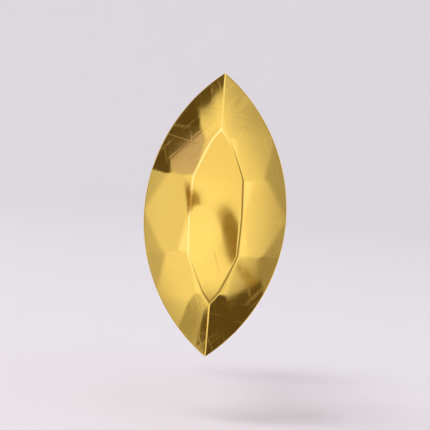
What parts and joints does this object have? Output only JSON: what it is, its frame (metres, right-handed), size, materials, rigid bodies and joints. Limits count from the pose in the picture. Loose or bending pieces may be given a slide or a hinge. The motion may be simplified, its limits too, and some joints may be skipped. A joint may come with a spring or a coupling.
{
  "type": "nose stud",
  "caption": "Flat-back nose stud with a faceted yellow gold marquise head, 6 x 3 mm, pressed into a hollow post.",
  "frame": {"origin": "The middle of the head's flat back, where the post goes into the piercing.", "axes": "-Y out of the nostril, square to the table; +Y along the post into the nose; +Z along the marquise; +X across it."},
  "size_m": [0.003, 0.0082, 0.006],
  "materials": {
    "polished_gold": "mirror-polished yellow gold, lapped facets",
    "post_gold": "turned and polished yellow gold"
  },
  "bodies": {
    "root": {"marquise_top": "polished_gold", "flat_back_post": "post_gold"}
  },
  "joints": []
}
